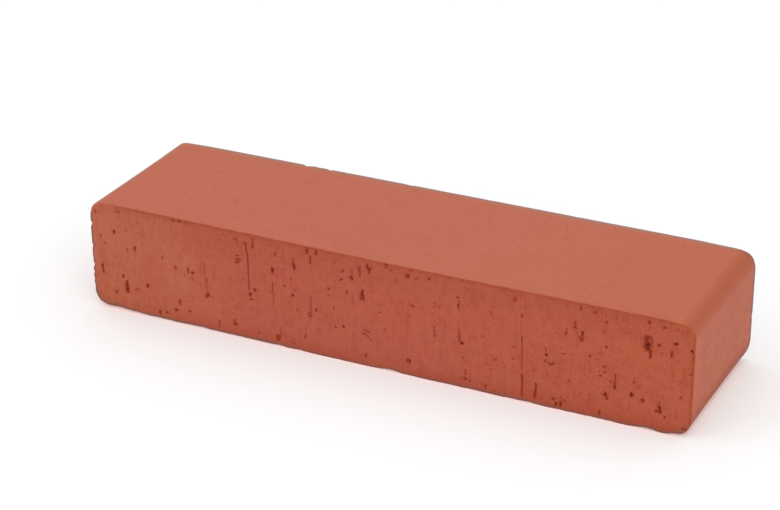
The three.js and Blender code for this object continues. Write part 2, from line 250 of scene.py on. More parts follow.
class StageSettings(bpy.types.PropertyGroup):
    """Light and ground."""

    sky: number("Sky", "Strength of the white surroundings", 0.9, max=2.0)
    right_lamp: number("Right lamp", "Power of the soft lamp at the front right", 8.0, unit="POWER")
    left_lamp: number("Left lamp", "Power of the soft lamp at the front left", 4.0, unit="POWER")
    floor: colour("Floor", "Colour of the light that the floor throws back", (0.68, 0.68, 0.68))
    floor_seen: colour("Floor as seen", "Colour that the camera sees it in", (0.785, 0.8, 0.8))
    # The three glows below are painted on the floor: red light that the brick throws on it, and by
    # the ends its contact shadow too.
    side_glow: colour("Glow by the sides", "Floor where the sides redden it", (0.985, 0.77, 0.745))
    end_glow: colour("Glow by the ends", "Floor where it meets the ends", (1.0, 0.475, 0.38))
    far_glow: colour("Glow past the ends", "Floor where the ends redden it", (0.93, 0.76, 0.71))
    floor_glow: number("Floor glow", "White that the camera sees on the lit floor", 0.225, max=1.0)


class BrickSettings(bpy.types.PropertyGroup):
    """Everything that the panel shows."""

    sizes: bpy.props.PointerProperty(type=ClaySizes)
    colours: bpy.props.PointerProperty(type=ClayColours)
    stage: bpy.props.PointerProperty(type=StageSettings)


# ---- Noise on whole arrays ----

NOISE_TABLE = 256  # random heights along each side of the table that the noise repeats


def soft_noise(u, v, seed):
    """Value noise from -1 to 1: random heights at whole numbers of u and v, joined by smooth ramps
    3t^2 - 2t^3."""
    heights = np.random.default_rng(seed).uniform(-1.0, 1.0, (NOISE_TABLE, NOISE_TABLE))
    column, row = np.floor(u).astype(int), np.floor(v).astype(int)
    s, t = u - column, v - row
    s, t = s * s * (3.0 - 2.0 * s), t * t * (3.0 - 2.0 * t)

    def height(i, j):
        return heights[(column + i) % NOISE_TABLE, (row + j) % NOISE_TABLE]

    near = height(0, 0) * (1.0 - s) + height(1, 0) * s
    far = height(0, 1) * (1.0 - s) + height(1, 1) * s
    return near * (1.0 - t) + far * t


def waves(u, v, *sizes):
    """Soft noise summed over sizes, each with a height, a grain along u and along v, and a seed."""
    return sum(high * soft_noise(u / wide, v / tall, seed) for high, wide, tall, seed in sizes)


def wander(place, *sizes):
    """Soft noise along one line, summed over sizes, each with a height, a grain and a seed."""
    return sum(high * soft_noise(place / wide, 0.0, seed) for high, wide, seed in sizes)


def ramp(value, start, end):
    """0 at the start, 1 at the end, which may be the smaller one, and 3t^2 - 2t^3 between them."""
    t = np.clip((value - start) / (end - start), 0.0, 1.0)
    return t * t * (3.0 - 2.0 * t)


def fading(distance, reach):
    """1 within a fifth of the reach, and 0 from a fifth beyond it."""
    return ramp(distance / reach, 1.2, 0.2)


# ---- Tears on a cut face ----

# All lengths are in millimetres.
TEAR_WALL = 0.3  # from a tear's rim down to its floor
TEAR_EDGE, TEAR_FRAY = 0.5, 0.225  # where its darkness comes in, and how much of that is outside it
TEAR_TONE = 0.45  # a power that lifts the fainter ones
RIM_WOBBLE, RIM_GRAIN = 0.16, 0.55  # how far noise pushes a rim about, and that noise's size
TEAR_SWAY, SWAY_GRAIN = 0.2, 1.3  # the same for slower noise, which bends the whole tear
STIFFNESS = 2.0  # a tear that is higher than this many widths bends less
LEAST_BEND = 0.15  # the share of the bending that the longest drag lines keep
LEAST_WIDTH = 0.2  # half the width of the thinnest drag line
CROWD_REACH = 2.2  # how far around a tear the surface's points crowd towards it
CROWD_PULL = 0.55  # by which share they come closer at its middle
CROWD_START = 0.3  # darkness of the faintest tear that draws them
CROWD_INSIDE = 2.0  # how far inside the outline they follow it in full
TEAR_FLOOR, PALE_BITS = 0.95, 0.2  # darkness of a tear's floor, and of noise on it
BIT_WIDTH, BIT_HEIGHT = 0.5, 1.4  # size of that noise


def from_spine(x, z, tear):
    """Steps along x and z from a tear's spine, a line segment along its longer side, and half the
    tear's thickness around it."""
    middle_x, middle_z, width, height = tear[:4]
    lean = math.radians(tear[5]) if len(tear) > 5 else 0.0
    half = max(min(width, height) / 2.0, LEAST_WIDTH)
    reach = max(max(width, height) / 2.0 - half, 0.0)
    over, up = math.sin(lean), math.cos(lean)
    if width > height:
        over, up = up, over
    dx, dz = x - middle_x, z - middle_z
    nearest = np.clip(dx * over + dz * up, -reach, reach)
    return dx - nearest * over, dz - nearest * up, half


def crowd(x, z, inside, tears):
    """Slides the points of a cut face, but not its outline, towards the tears, so that small ones
    get more points. One at t reaches from a spine comes closer by the share pull * (1 - t^2)^2,
    which keeps their order."""
    pull = CROWD_PULL * ramp(inside, 0.0, CROWD_INSIDE)
    for tear in (tear for tear in tears if tear[4] >= CROWD_START):
        dx, dz, _ = from_spine(x, z, tear)
        near = np.clip(1.0 - (dx * dx + dz * dz) / CROWD_REACH**2, 0.0, None) ** 2
        x, z = x - dx * pull * near, z - dz * pull * near
    return x, z


def swayed(x, z, seed):
    """How far noise in two sizes pushes each place about, along x and along z."""
    to_x, to_z = x, z
    for push, grain, step in ((TEAR_SWAY, SWAY_GRAIN, 6), (RIM_WOBBLE, RIM_GRAIN, 0)):
        to_x, to_z = (
            to_x + push * soft_noise(to_x / grain, to_z / grain, seed + step),
            to_z + push * soft_noise(to_x / grain, to_z / grain, seed + step + 1),
        )
    return to_x - x, to_z - z


def torn(x, z, tears, seed):
    """Depth, and darkness of the shade painted inside, each from 0 to 1, that tears give every
    point of a cut face. Both rise with the distance inside a tear's rim, and the deepest tear wins
    where two meet. Noise bends a tear about its own middle and makes its rim ragged, less so on a
    long thin drag line, and more noise leaves paler bits inside."""
    push_x, push_z = swayed(x, z, seed)
    middle_x, middle_z = np.array([tear[:2] for tear in tears]).T
    middles = zip(*swayed(middle_x, middle_z, seed))
    depth = dark = np.zeros_like(x)
    for tear, (own_x, own_z) in zip(tears, middles):
        bend = np.clip(STIFFNESS * tear[2] / tear[3], LEAST_BEND, 1.0)
        dx, dz, half = from_spine(x + bend * (push_x - own_x), z + bend * (push_z - own_z), tear)
        distance = np.hypot(dx, dz) - half
        floor = ramp(distance, 0.0, -min(TEAR_WALL, half))
        depth = np.maximum(depth, tear[4] ** 2 * floor)
        shade = ramp(distance, TEAR_FRAY, TEAR_FRAY - TEAR_EDGE)
        dark = np.maximum(dark, tear[4] ** TEAR_TONE * shade)
    bits = soft_noise((x + push_x) / BIT_WIDTH, (z + push_z) / BIT_HEIGHT, seed + 8)
    return depth, dark * (TEAR_FLOOR + PALE_BITS * bits)


# ---- Bruises, dark rims and painted shade along the arrises ----

# Pairs in brackets say where a mark starts to show and where it is whole.
BAND_DEEP, BAND_DARK, BAND_START = 1.7, 0.25, (8, 13)  # the band along the upper front arris
BAND_RAGGED, RAGGED_DARK = (78, 58), 0.08  # its ragged part, and how much darker that is
DRIP, RAGGED_DRIP = 4.0, 3.0  # how far its drips reach, and how much further in that part
DRIP_START = 0.45  # noise above this makes a drip
STRIP_DEEP, STRIP_DARK, STRIP_START = (17, 0), 0.17, (4, 20)  # the wide faint strip below it
EDGE_WIDE, EDGE_DARK, EDGE_START = 1.15, 0.6, (0, 6)  # the narrow band along the right arris
EDGE_LAP = 0.7  # how much of it shows past the arris
LOWER_SHADE_STRIPS = ((0.2, 8.5), (0.16, 2.6))  # painted shade where the face meets the floor: its darkness, and how high each strip reaches
LOWER_SHADE_SHARE, LOWER_SHADE_MORE, MORE_START = 0.9, 0.3, (150, 210)  # their share, and how it grows
LEAST_BAND = 0.3  # width of the thinnest bit of a band or a rim

PATCHY = 0.8  # mean darkness of the dark rim and its painted shade, which comes and goes
RIM_WIDE, RIM_BEHIND = 1.2, 0.45  # its width on a cut face, and how much of it the back has
UPPER_CLEAR, RIGHT_CLEAR, CLEAR_RISE = (6, 2), (4, 2), (2, 6)  # none here in front
BIG_TEAR = (222.6, 33.4)  # middle of the large tear, where more shade is painted
BIG_TEAR_SHADE, BIG_TEAR_REACH = 0.2, (2.6, 2.6 / 1.5)  # how much, and how far from there
BACK_RIM, END_RIM_MORE = 1.15, 0.2  # the skin's rim, and how much more of it the right end has
BACK_RIM_WIDE, END_RIM_RISE = (3.5, 0), (38, 35)
CORNER_RIM_OUT, CORNER_RIM_IN = (5.6, 2.6), (0.8, 2.8)  # the rim on the rounded top left corner
UNDER_END_SHADE, UNDER_RISE, UNDER_RUN = 1.1, (6.5, 3.5), 3.5  # shade painted under the right end


def arris_bruise(x, z, top, behind):
    """Darkness of the band that the wire bruised along the upper arris of the front face, and of a
    narrow one along its right arris, which laps over it. The upper band has short drips, is most
    ragged at its left, and fades out over a wider strip."""
    below = top - z
    ragged = ramp(x, *BAND_RAGGED)
    drips = np.clip(wander(x, (1.0, 0.55, 41)) - DRIP_START, 0.0, None)
    drips *= DRIP + RAGGED_DRIP * ragged
    deep = BAND_DEEP + wander(x, (0.5, 2.6, 42), (0.3, 0.8, 43)) + drips
    strength = BAND_DARK + RAGGED_DARK * ragged + wander(x, (0.08, 7.0, 44))
    band = strength * ramp(x, *BAND_START) * fading(below, np.maximum(deep, LEAST_BAND))
    band += STRIP_DARK * ramp(x, *STRIP_START) * ramp(below, *STRIP_DEEP)
    edge = EDGE_DARK + wander(z, (0.15, 2.3, 49))
    edge *= fading(LENGTH - x, EDGE_WIDE + wander(z, (0.3, 1.1, 48))) * ramp(z, *EDGE_START)
    return np.where(behind == 0.0, np.maximum(band, edge), EDGE_LAP * edge)


def lower_shade(x, z):
    """Darkness of the shade painted in a strip along the lower arris, where the face meets the
    floor, stronger to the right.
    """
    strip = sum(dark * ramp(z, top, 0.0) for dark, top in LOWER_SHADE_STRIPS)
    return strip * (LOWER_SHADE_SHARE + LOWER_SHADE_MORE * ramp(x, *MORE_START))


def dark_rim_and_shade(x, y, z, section, behind, on_cut):
    """Darkness of a dark rim along the arrises, which along the bed is painted shade. In front it
    leaves out the upper and the right arris but fills the large tear with painted shade, and on the
    back face it is faint. On the skin it follows the back arris and the top left corner, and runs
    under the right end as painted shade."""
    wide = RIM_WIDE + waves(x + y + z, y, (0.35, 1.9, 9.0, 45), (0.3, 0.7, 9.0, 46))
    patchy = PATCHY + waves(x + y + z, y, (0.2, 4.0, 9.0, 47))
    at_front = y < WIDTH / 2.0
    upper = ramp(HEIGHT - z, *UPPER_CLEAR)
    right = ramp(LENGTH - x, *RIGHT_CLEAR) * ramp(z, *CLEAR_RISE)
    on_face = fading(section.inside, np.maximum(wide, LEAST_BAND))
    on_face *= np.where(at_front, 1.0 - np.maximum(upper, right), RIM_BEHIND)
    from_tear = np.hypot(x - BIG_TEAR[0], z - BIG_TEAR[1])
    on_face = np.maximum(on_face, BIG_TEAR_SHADE * ramp(from_tear, *BIG_TEAR_REACH) * at_front)
    on_end = ramp(z, *END_RIM_RISE)
    arris = (BACK_RIM + END_RIM_MORE * on_end) * ramp(behind, *BACK_RIM_WIDE) * ~at_front
    arris *= np.maximum(1.0 - on_end, x > LENGTH / 2.0)
    left_corner = ramp(x, *CORNER_RIM_OUT) * ramp(x, *CORNER_RIM_IN) * (z > HEIGHT / 2.0)
    ragged = wander(y, (0.5, 2.4, 50)) + waves(y, z, (0.3, 0.9, 0.9, 51))
    # Painted shade under the right end, where its foot curves under.
    under = ramp(z - ragged, *UNDER_RISE) * (x > LENGTH - UNDER_RUN)
    on_skin = np.maximum(arris, np.maximum(left_corner, UNDER_END_SHADE * under))
    return patchy * np.where(on_cut, on_face, on_skin)


# ---- Tears that chance placed ----

CHANCE_SEED = 5
# Kinds of tears: how many, and the limits of their width, their height and their darkness.
FAINT_KINDS = (
    (230, (0.4, 0.8), (0.5, 1.1), (0.03, 0.2)),
    (70, (0.35, 0.45), (2.0, 6.0), (0.02, 0.1)),
)
UPPER_KINDS = ((40, (0.4, 0.7), (1.0, 2.4), (0.05, 0.24)),)
BACK_KINDS = (
    (42, (0.9, 1.5), (1.0, 2.4), (0.75, 1.0)),
    (12, (0.8, 1.6), (2.8, 5.2), (0.8, 1.0)),
    (9, (0.4, 0.6), (5.0, 14.0), (0.4, 0.7)),
    (60, (0.7, 1.2), (0.7, 1.6), (0.35, 0.65)),
)


def chance_tears(rng, kinds, *place):
    """Random upright tears, each number of theirs drawn evenly between its limits."""
    tears = []
    for count, *sizes in kinds:
        tears += zip(*(rng.uniform(*limits, count) for limits in (*place, *sizes)))
    return tears


def small_tears(rng):
    """The crowd of faint specks and short drag lines that any wire leaves."""
    face = ((1.0, LENGTH - 1.0), (1.0, HEIGHT - 1.0))
    upper = ((3.0, LENGTH - 3.0), (HEIGHT - 5.0, HEIGHT - 1.0))
    return chance_tears(rng, FAINT_KINDS, *face) + chance_tears(rng, UPPER_KINDS, *upper)


def back_tears(rng):
    """Tears for the cut face that has none listed, in the same sizes and crowding."""
    return chance_tears(rng, BACK_KINDS, (3.0, LENGTH - 3.0), (2.5, HEIGHT - 2.0))


# ---- The surface of the brick ----

# Rows of points behind a cut face: close over the arris, then ever wider.
ROWS_BEHIND = np.array([0.0, 0.13, 0.35, 0.75, 1.5, 3.0, 6.0, 19.0])
EDGE_PULL = 3.6  # how far into a cut face a broken arris draws the points along
SAG_MIDDLE, SAG_REACH = 130.0, 72.0  # where the front top arris sags most, and how far around
HEEL_GROWS, HEEL_SHRINKS = (-9, 21), (55, 64)  # the right foot, behind the front face
HEEL_LOSS, HEEL_RUN = 0.7, 0.6  # shares of its growth that it then loses, and that its run has
LEAST_RADIUS = 0.08  # of a broken arris
# Streaks and hollows of a cut face: their share of the relief, their width and their height.
STREAKS = ((0.3, 1.1, 9.0), (0.3, 2.7, 25.0), (0.5, 14.0, 11.0), (0.6, 1.4, 1.6))
RELIEF_FADE = 0.9  # how far inside the outline they are whole
RELIEF, RELIEF_SWING = 0.9, 0.6  # how strong they are, and how much stronger where they add up
BRUISE_REACH = 0.4  # behind the front face
FRONT_CHIP_SEED, BACK_CHIP_SEED, FRONT_FACE_SEED, BACK_FACE_SEED = 11, 21, 101, 201


def lattice(step):
    """The coordinates of a box's surface points on a lattice, and the number of the point at every
    lattice place."""
    xs, zs = (np.linspace(0.0, size, round(size / step) + 1) for size in (LENGTH, HEIGHT))
    ys = np.concatenate([ROWS_BEHIND, [WIDTH / 2.0], WIDTH - ROWS_BEHIND[::-1]])
    shape = (len(xs), len(ys), len(zs))
    outside = np.ones(shape, bool)
    outside[1:-1, 1:-1, 1:-1] = False
    number = np.cumsum(outside.ravel()).reshape(shape) - 1
    i, j, k = np.nonzero(outside)
    return xs[i], ys[j], zs[k], number


def quads(sheet, turned):
    """Four corners of every cell in a sheet of point numbers, in reverse order where turned."""
    a, b, c, d = sheet[:-1, :-1], sheet[1:, :-1], sheet[1:, 1:], sheet[:-1, 1:]
    corners = (a, d, c, b) if turned else (a, b, c, d)
    return np.stack(corners, -1).reshape(-1, 4)


def box_faces(number):
    """The six sides of the lattice, each facing outwards."""
    sides = [(axis, end) for axis in (1, 2, 0) for end in (0, -1)]
    return np.concatenate([
        quads(np.take(number, end, axis), (end == 0) != (axis == 1)) for axis, end in sides
    ])


def die_corners(y, sizes):
    """The four long corners at each distance from the front face: whether a corner is on the
    right and at the top, its run and its rise. Towards the back the top right one grows evenly,
    the top left one shrinks as the fourth power, and the right foot grows at first."""
    back = y / WIDTH
    right = sizes["top_right"] + sizes["right_growth"] * back
    left = sizes["top_left"] - sizes["left_loss"] * back**4
    heel = sizes["heel_growth"] * ramp(y, *HEEL_GROWS) * (1.0 - HEEL_LOSS * ramp(y, *HEEL_SHRINKS))
    return (
        (False, False, sizes["foot_run"], sizes["foot_rise"]),
        (True, False, sizes["heel_run"] + HEEL_RUN * heel, sizes["heel_rise"] + heel),
        (True, True, right, right),
        (False, True, left, left),
    )


class Section:
    """The die's opening. It rounds a box's four long corners, and says how far each point lies
    inside the outline, which way is inwards and how far round a corner it is.

    In a corner's square, the point (a, b) counted from the arc's centre in radii becomes
    (a, b) * max(a, b) / hypot(a, b), which turns nested squares into nested circles."""

    def __init__(self, x, z, corners):
        self.x, self.z = x.copy(), z.copy()
        sides = np.stack([x, LENGTH - x, z, HEIGHT - z])
        nearest = sides.argmin(0)
        self.inside = sides.min(0)
        self.inward_x = np.choose(nearest, [1.0, -1.0, 0.0, 0.0])
        self.inward_z = np.choose(nearest, [0.0, 0.0, 1.0, -1.0])
        self.corner = np.zeros_like(x)
        for right, top, run, rise in corners:
            run, rise = run if right else -run, rise if top else -rise
            self._round(x, z, right * LENGTH - run, top * HEIGHT - rise, run, rise)

    def _round(self, x, z, centre_x, centre_z, run, rise):
        """Moves the points of one corner's square onto its arcs."""
        a, b = (x - centre_x) / run, (z - centre_z) / rise
        here = (a > 0.0) & (b > 0.0)
        centre_x, centre_z, run, rise = (
            np.broadcast_to(value, x.shape)[here] for value in (centre_x, centre_z, run, rise)
        )
        a, b = a[here], b[here]
        far, away = np.maximum(a, b), np.hypot(a, b)
        self.x[here] = centre_x + run * a * far / away
        self.z[here] = centre_z + rise * b * far / away
        self.inside[here] = (1.0 - far) * np.minimum(abs(run), abs(rise))
        self.inward_x[here] = -np.sign(run) * a / away
        self.inward_z[here] = -np.sign(rise) * b / away
        self.corner[here] = 2.0 * a * b / away**2


def arris_radius(x, z, sizes, chips, seed):
    """Radius of the broken arris at every point: a plain one, noise in two sizes, and the chips as
    bell-shaped bites."""
    uneven = waves(x + z, x - z, (0.6, 5.0, 5.0, seed), (0.4, 1.3, 1.3, seed + 1))
    radius = sizes["arris"] + sizes["ragged"] * uneven
    for chip_x, chip_z, size, reach in chips:
        away = np.hypot(x - chip_x, z - chip_z) / reach
        radius = radius + size * np.exp(-(away**2))
    return np.maximum(radius, LEAST_RADIUS)


def arris_wear(x, sizes):
    """Lift of the lower front arris along the brick: a least one, and a bell per worn stretch."""
    lift = np.full_like(x, sizes["wear_rise"])
    for place, rise, reach in WORN_STRETCHES:
        lift += rise * np.exp(-(((x - place) / reach) ** 2))
    return np.maximum(lift + wander(x, (0.1, 2.2, 31), (0.06, 7.0, 32), (0.07, 0.9, 33)), 0.0)


def break_arris(radius, behind):
    """How far the outline shrinks at a distance behind a cut face: r - sqrt(r^2 - (r - d)^2)."""
    short = np.clip(radius - behind, 0.0, None)
    return radius - np.sqrt(radius**2 - short**2)


def cut_face_depth(x, z, inside, sizes, tears, seed):
    """Depth and darkness of a cut face: streaks, hollows and tears, which fade out at the arris."""
    depth, dark = torn(x, z, tears, seed)
    streaks = waves(x, z, *((*size, seed + 2 + i) for i, size in enumerate(STREAKS)))
    relief = sizes["streak_depth"] * np.clip(RELIEF + RELIEF_SWING * streaks, 0.0, None)
    return ramp(inside, 0.0, RELIEF_FADE) * (relief + sizes["tear_depth"] * depth), dark


def brick_surface(sizes):
    """Every point of the brick, in millimetres from the lower front left corner of its box, its
    marks and the faces. A lattice on the box is rounded by the die's section, shrunk inwards at
    the broken arrises, lowered by the sag and lifted by the wear. On a cut face its points then
    crowd round the tears and go in by their depth. The marks say how much shade is painted on a
    point in the tears and along the lower front arris, how bruised it is, whether it is on a cut
    face, how far round a die corner it lies, and how dark its rim is, which is painted shade along
    the bed, under the right end and in the large tear."""
    x, y, z, number = lattice(sizes["step"])
    section = Section(x, z, die_corners(y, sizes))
    front = y < WIDTH / 2.0
    behind = np.where(front, y, WIDTH - y)
    sag = sizes["top_sag"] * np.exp(-(((x - SAG_MIDDLE) / SAG_REACH) ** 2)) * z / HEIGHT
    sag *= 1.0 - y / WIDTH
    front_radius, back_radius = (
        arris_radius(section.x, section.z, sizes, chips, seed)
        for chips, seed in ((FRONT_CHIPS, FRONT_CHIP_SEED), (BACK_CHIPS, BACK_CHIP_SEED))
    )
    on_cut = behind == 0.0
    pull = np.where(on_cut, np.clip(1.0 - section.inside / EDGE_PULL, 0.0, 1.0), 1.0)
    shrink = break_arris(np.where(front, front_radius, back_radius), behind) * pull
    out_x = section.x + section.inward_x * shrink
    out_z = section.z + section.inward_z * shrink - sag
    lift = np.where(front, arris_wear(x, sizes), 0.0)
    lift *= np.clip(1.0 - behind / sizes["wear_reach"], 0.0, 1.0) ** 2
    out_z += lift * np.clip(1.0 - out_z / sizes["wear_top"], 0.0, 1.0)
    depth, dark, bruised = np.zeros((3, len(x)))
    rng = np.random.default_rng(CHANCE_SEED)
    front_tears = list(FRONT_TEARS) + small_tears(rng)
    cut_faces = (
        (front, front_tears, FRONT_FACE_SEED),
        (~front, back_tears(rng) + small_tears(rng), BACK_FACE_SEED),
    )
    for side, tears, seed in cut_faces:
        face = side & on_cut
        inside = section.inside[face]
        out_x[face], out_z[face] = crowd(out_x[face], out_z[face], inside, tears)
        at = out_x[face], out_z[face]
        depth[face], dark[face] = cut_face_depth(*at, inside, sizes, tears, seed)
        dark[face] = np.maximum(dark[face], lower_shade(*at))
    near = behind < BRUISE_REACH
    bruised[near] = arris_bruise(out_x[near], out_z[near], (HEIGHT - sag)[near], behind[near])
    out_y = np.where(front, y + depth, y - depth)
    points = np.stack([out_x, out_y, out_z], 1)
    marks = {
        # torn holds the shade painted in the tears and along the lower front arris.
        "torn": dark,
        "bruised": bruised,
        "cut": on_cut.astype(float),
        "corner": section.corner * ~on_cut,
        "rim": dark_rim_and_shade(out_x, y, out_z, section, behind, on_cut),
    }
    return points, marks, box_faces(number)


def make_mesh(name, points, faces, marks):
    """A smooth mesh in metres, with a number at each point for each mark."""
    mesh = bpy.data.meshes.new(name)
    mesh.from_pydata((points + BRICK_LOW) * MM, [], faces, shade_flat=False)
    for mark, values in marks.items():
        layer = mesh.attributes.new(mark, "FLOAT", "POINT")
        layer.data.foreach_set("value", values.astype(np.float32))
    if mesh.validate():
        raise RuntimeError(f"{name} had faces that Blender had to mend")
    return mesh


# ---- Shader maths in Python ----


def operators(operation):
    """What Python calls for an operator with the wire first, and with it second."""

    def wire_first(self, other):
        return self.math(operation, self, other)

    def wire_second(self, other):
        return self.math(operation, other, self)

    return wire_first, wire_second


class Wire:
    """One socket's value. Python's operators on it add Math nodes to the same tree."""

    __add__, __radd__ = operators("ADD")
    __sub__, __rsub__ = operators("SUBTRACT")
    __mul__, __rmul__ = operators("MULTIPLY")

    def __init__(self, tree, socket):
        self.tree, self.socket = tree, socket

    def math(self, operation, *values, clamp=False):
        """The result of a new Math node."""
        inputs = dict(enumerate(values))
        return self.tree.node("ShaderNodeMath", inputs, operation=operation, use_clamp=clamp)

    def size(self):
        """The value without its sign."""
        return self.math("ABSOLUTE", self)

    def within(self):
        """The value held between 0 and 1."""
        return self.math("ADD", self, 0.0, clamp=True)


class Nodes:
    """The node tree of a new material or world, which is filled from Python."""

    def __init__(self, owner):
        owner.use_nodes = True
        self.tree = owner.node_tree
        self.tree.nodes.clear()

    def node(self, kind, inputs=None, output=0, **settings):
        """One output of a new node. Its settings are made first, then its sockets set or linked."""
        made = self.tree.nodes.new(kind)
        for name, value in settings.items():
            setattr(made, name, value)
        for name, value in (inputs or {}).items():
            if isinstance(value, Wire):
                self.tree.links.new(value.socket, made.inputs[name])
            else:
                made.inputs[name].default_value = value
        return Wire(self, made.outputs[output]) if len(made.outputs) else made

    def mark(self, name):
        """The number that the mesh holds at each point under this name."""
        return self.node("ShaderNodeAttribute", output="Fac", attribute_name=name)

    def place(self, scale=(1.0, 1.0, 1.0)):
        """Object coordinates, stretched by a scale along each axis."""
        at = self.node("ShaderNodeTexCoord", output="Object")
        return self.node("ShaderNodeMapping", {"Vector": at, "Scale": scale})

    def grain(self, size, stretch=(1.0, 1.0, 1.0), roughness=0.5):
        """Noise from 0 to 1 whose blobs are about this many metres across."""
        inputs = {"Vector": self.place(stretch), "Scale": 1.0 / size, "Roughness": roughness}
        return self.node("ShaderNodeTexNoise", inputs)

    def scattered(self, apart):
        """Distance, in metres, to the nearest of points that are strewn over the ground plan."""
        inputs = {"Vector": self.place(), "Scale": 1.0 / apart}
        away = self.node("ShaderNodeTexVoronoi", inputs, "Distance", voronoi_dimensions="2D")
        return away * apart

    def ramp(self, value, low, high):
        """0 at low, 1 at high and smooth between them."""
        inputs = {"Value": value, "From Min": low, "From Max": high}
        return self.node("ShaderNodeMapRange", inputs, interpolation_type="SMOOTHSTEP")

    def fall(self, value, low, high):
        """1 at low, 0 at high and smooth between them."""
        return 1.0 - self.ramp(value, low, high)

    def mix(self, share, first, second, blend="MIX"):
        """Two colours mixed by the share of the second, each a colour or a wire."""
        inputs = {0: share, 6: rgba(first), 7: rgba(second)}  # its sockets for colours
        return self.node("ShaderNodeMix", inputs, output=2, data_type="RGBA", blend_type=blend)

    def layers(self, below, *above):
        """A colour under others, each of which comes with its share."""
        for share, over in above:
            below = self.mix(share, below, over)
        return below


def rgba(value):
    """A colour with its alpha, or a wire as it is."""
    return value if isinstance(value, Wire) else (*value, 1.0)


# ---- The fired clay ----

SKIN_ROUGHNESS, CUT_ROUGHNESS = 0.62, 0.9
SKIN_GLOSS, CUT_GLOSS = 0.25, 0.05  # how strongly each kind of surface mirrors, 0.5 being glass
GRAIN_HEIGHT = 0.05 * MM  # of its grain, which is too fine for the mesh
SPECKS_APART = 26 * MM  # between the dark specks on the top
SPECK_CORE, SPECK_SIZE = 0.3 * MM, 0.5 * MM  # half their width, dark and in all

# How large the clay's patterns are, and how far two of them are stretched along each axis.
CLOUD, DAPPLE, MOTTLE, GRIT, STREAK = 24 * MM, 2.6 * MM, 2.2 * MM, 0.6 * MM, 1.1 * MM
MOTTLE_STRETCH, STREAK_STRETCH = (1.0, 0.5, 1.0), (1.0, 1.0, 0.17)
HARSH = 0.6  # roughness of the mottle's and the grit's noise
# Their parts in the shade of the skin and of a cut face.
SKIN_CLOUDS, SKIN_DAPPLE, SKIN_GRIT = 0.15, 0.25, 0.6
CUT_CLOUDS, CUT_DAPPLE, CUT_GRIT, CUT_STREAKS = 0.1, 0.3, 0.52, 0.2
LESS_DAPPLE = 0.1  # in the paler part of a cut face
CUT_CONTRAST, PALE_CONTRAST, WARM_CONTRAST = 1.1, -0.22, 0.3
# Shades between which the darker colour comes in.
SKIN_SHADES, MOTTLE_SHADES = (0.38, 0.62), (0.35, 0.68)
CUT_SHADES, PIT_SHADES = (0.42, 0.68), (1.0, 1.12)
# How much of a bruise, a tear and a rim shows without grit, and how much more where grit is.
BRUISE_GRIT, TEAR_GRIT, RIM_GRIT = (0.6, 0.8), (0.45, 1.1), (0.6, 0.6)
# How much of each of these shows at most.
EDGE_SHARE, CORNER_SHARE, FOOT_SHADE_SHARE = 0.5, 0.8, 0.62
MOTTLE_SHARE, DUST_SHARE, SPECK_SHARE = 0.36, 0.6, 0.6
PALE_WAVER, WARM_WAVER = 60 * MM, 40 * MM  # how far the clouds push these parts about
END_WARMTH = 0.9  # how much less of the warmth an end has
# Height of the grit on the skin, how much more it has on a cut face, and the dapple's.
SKIN_BUMP, CUT_BUMP, DAPPLE_BUMP, BUMP_STRENGTH = 0.25, 0.75, 0.3, 0.5
DAPPLE_ROUGHNESS = 0.06


def span(low, high):
    """Two places in metres, given here in millimetres."""
    return low * MM, high * MM


# Where one look turns into the next, along the brick from its middle, across it, and up it.
END_SKIN, WARM_PART, PALE_PART = span(119.3, 119.8), span(25, 95), span(-100, -55)
DUSTY_STRIP, LEFT_RIM, RIGHT_RIM = span(-119.6, -117.3), span(-114, -110), span(109, 115)
RUBBED_STRIP = span(-32, -24)
FOOT_SHADE_RISE, HIGH_RIM, FLAT_TOP = span(5, 13), span(35, 39), span(42.5, 43.0)


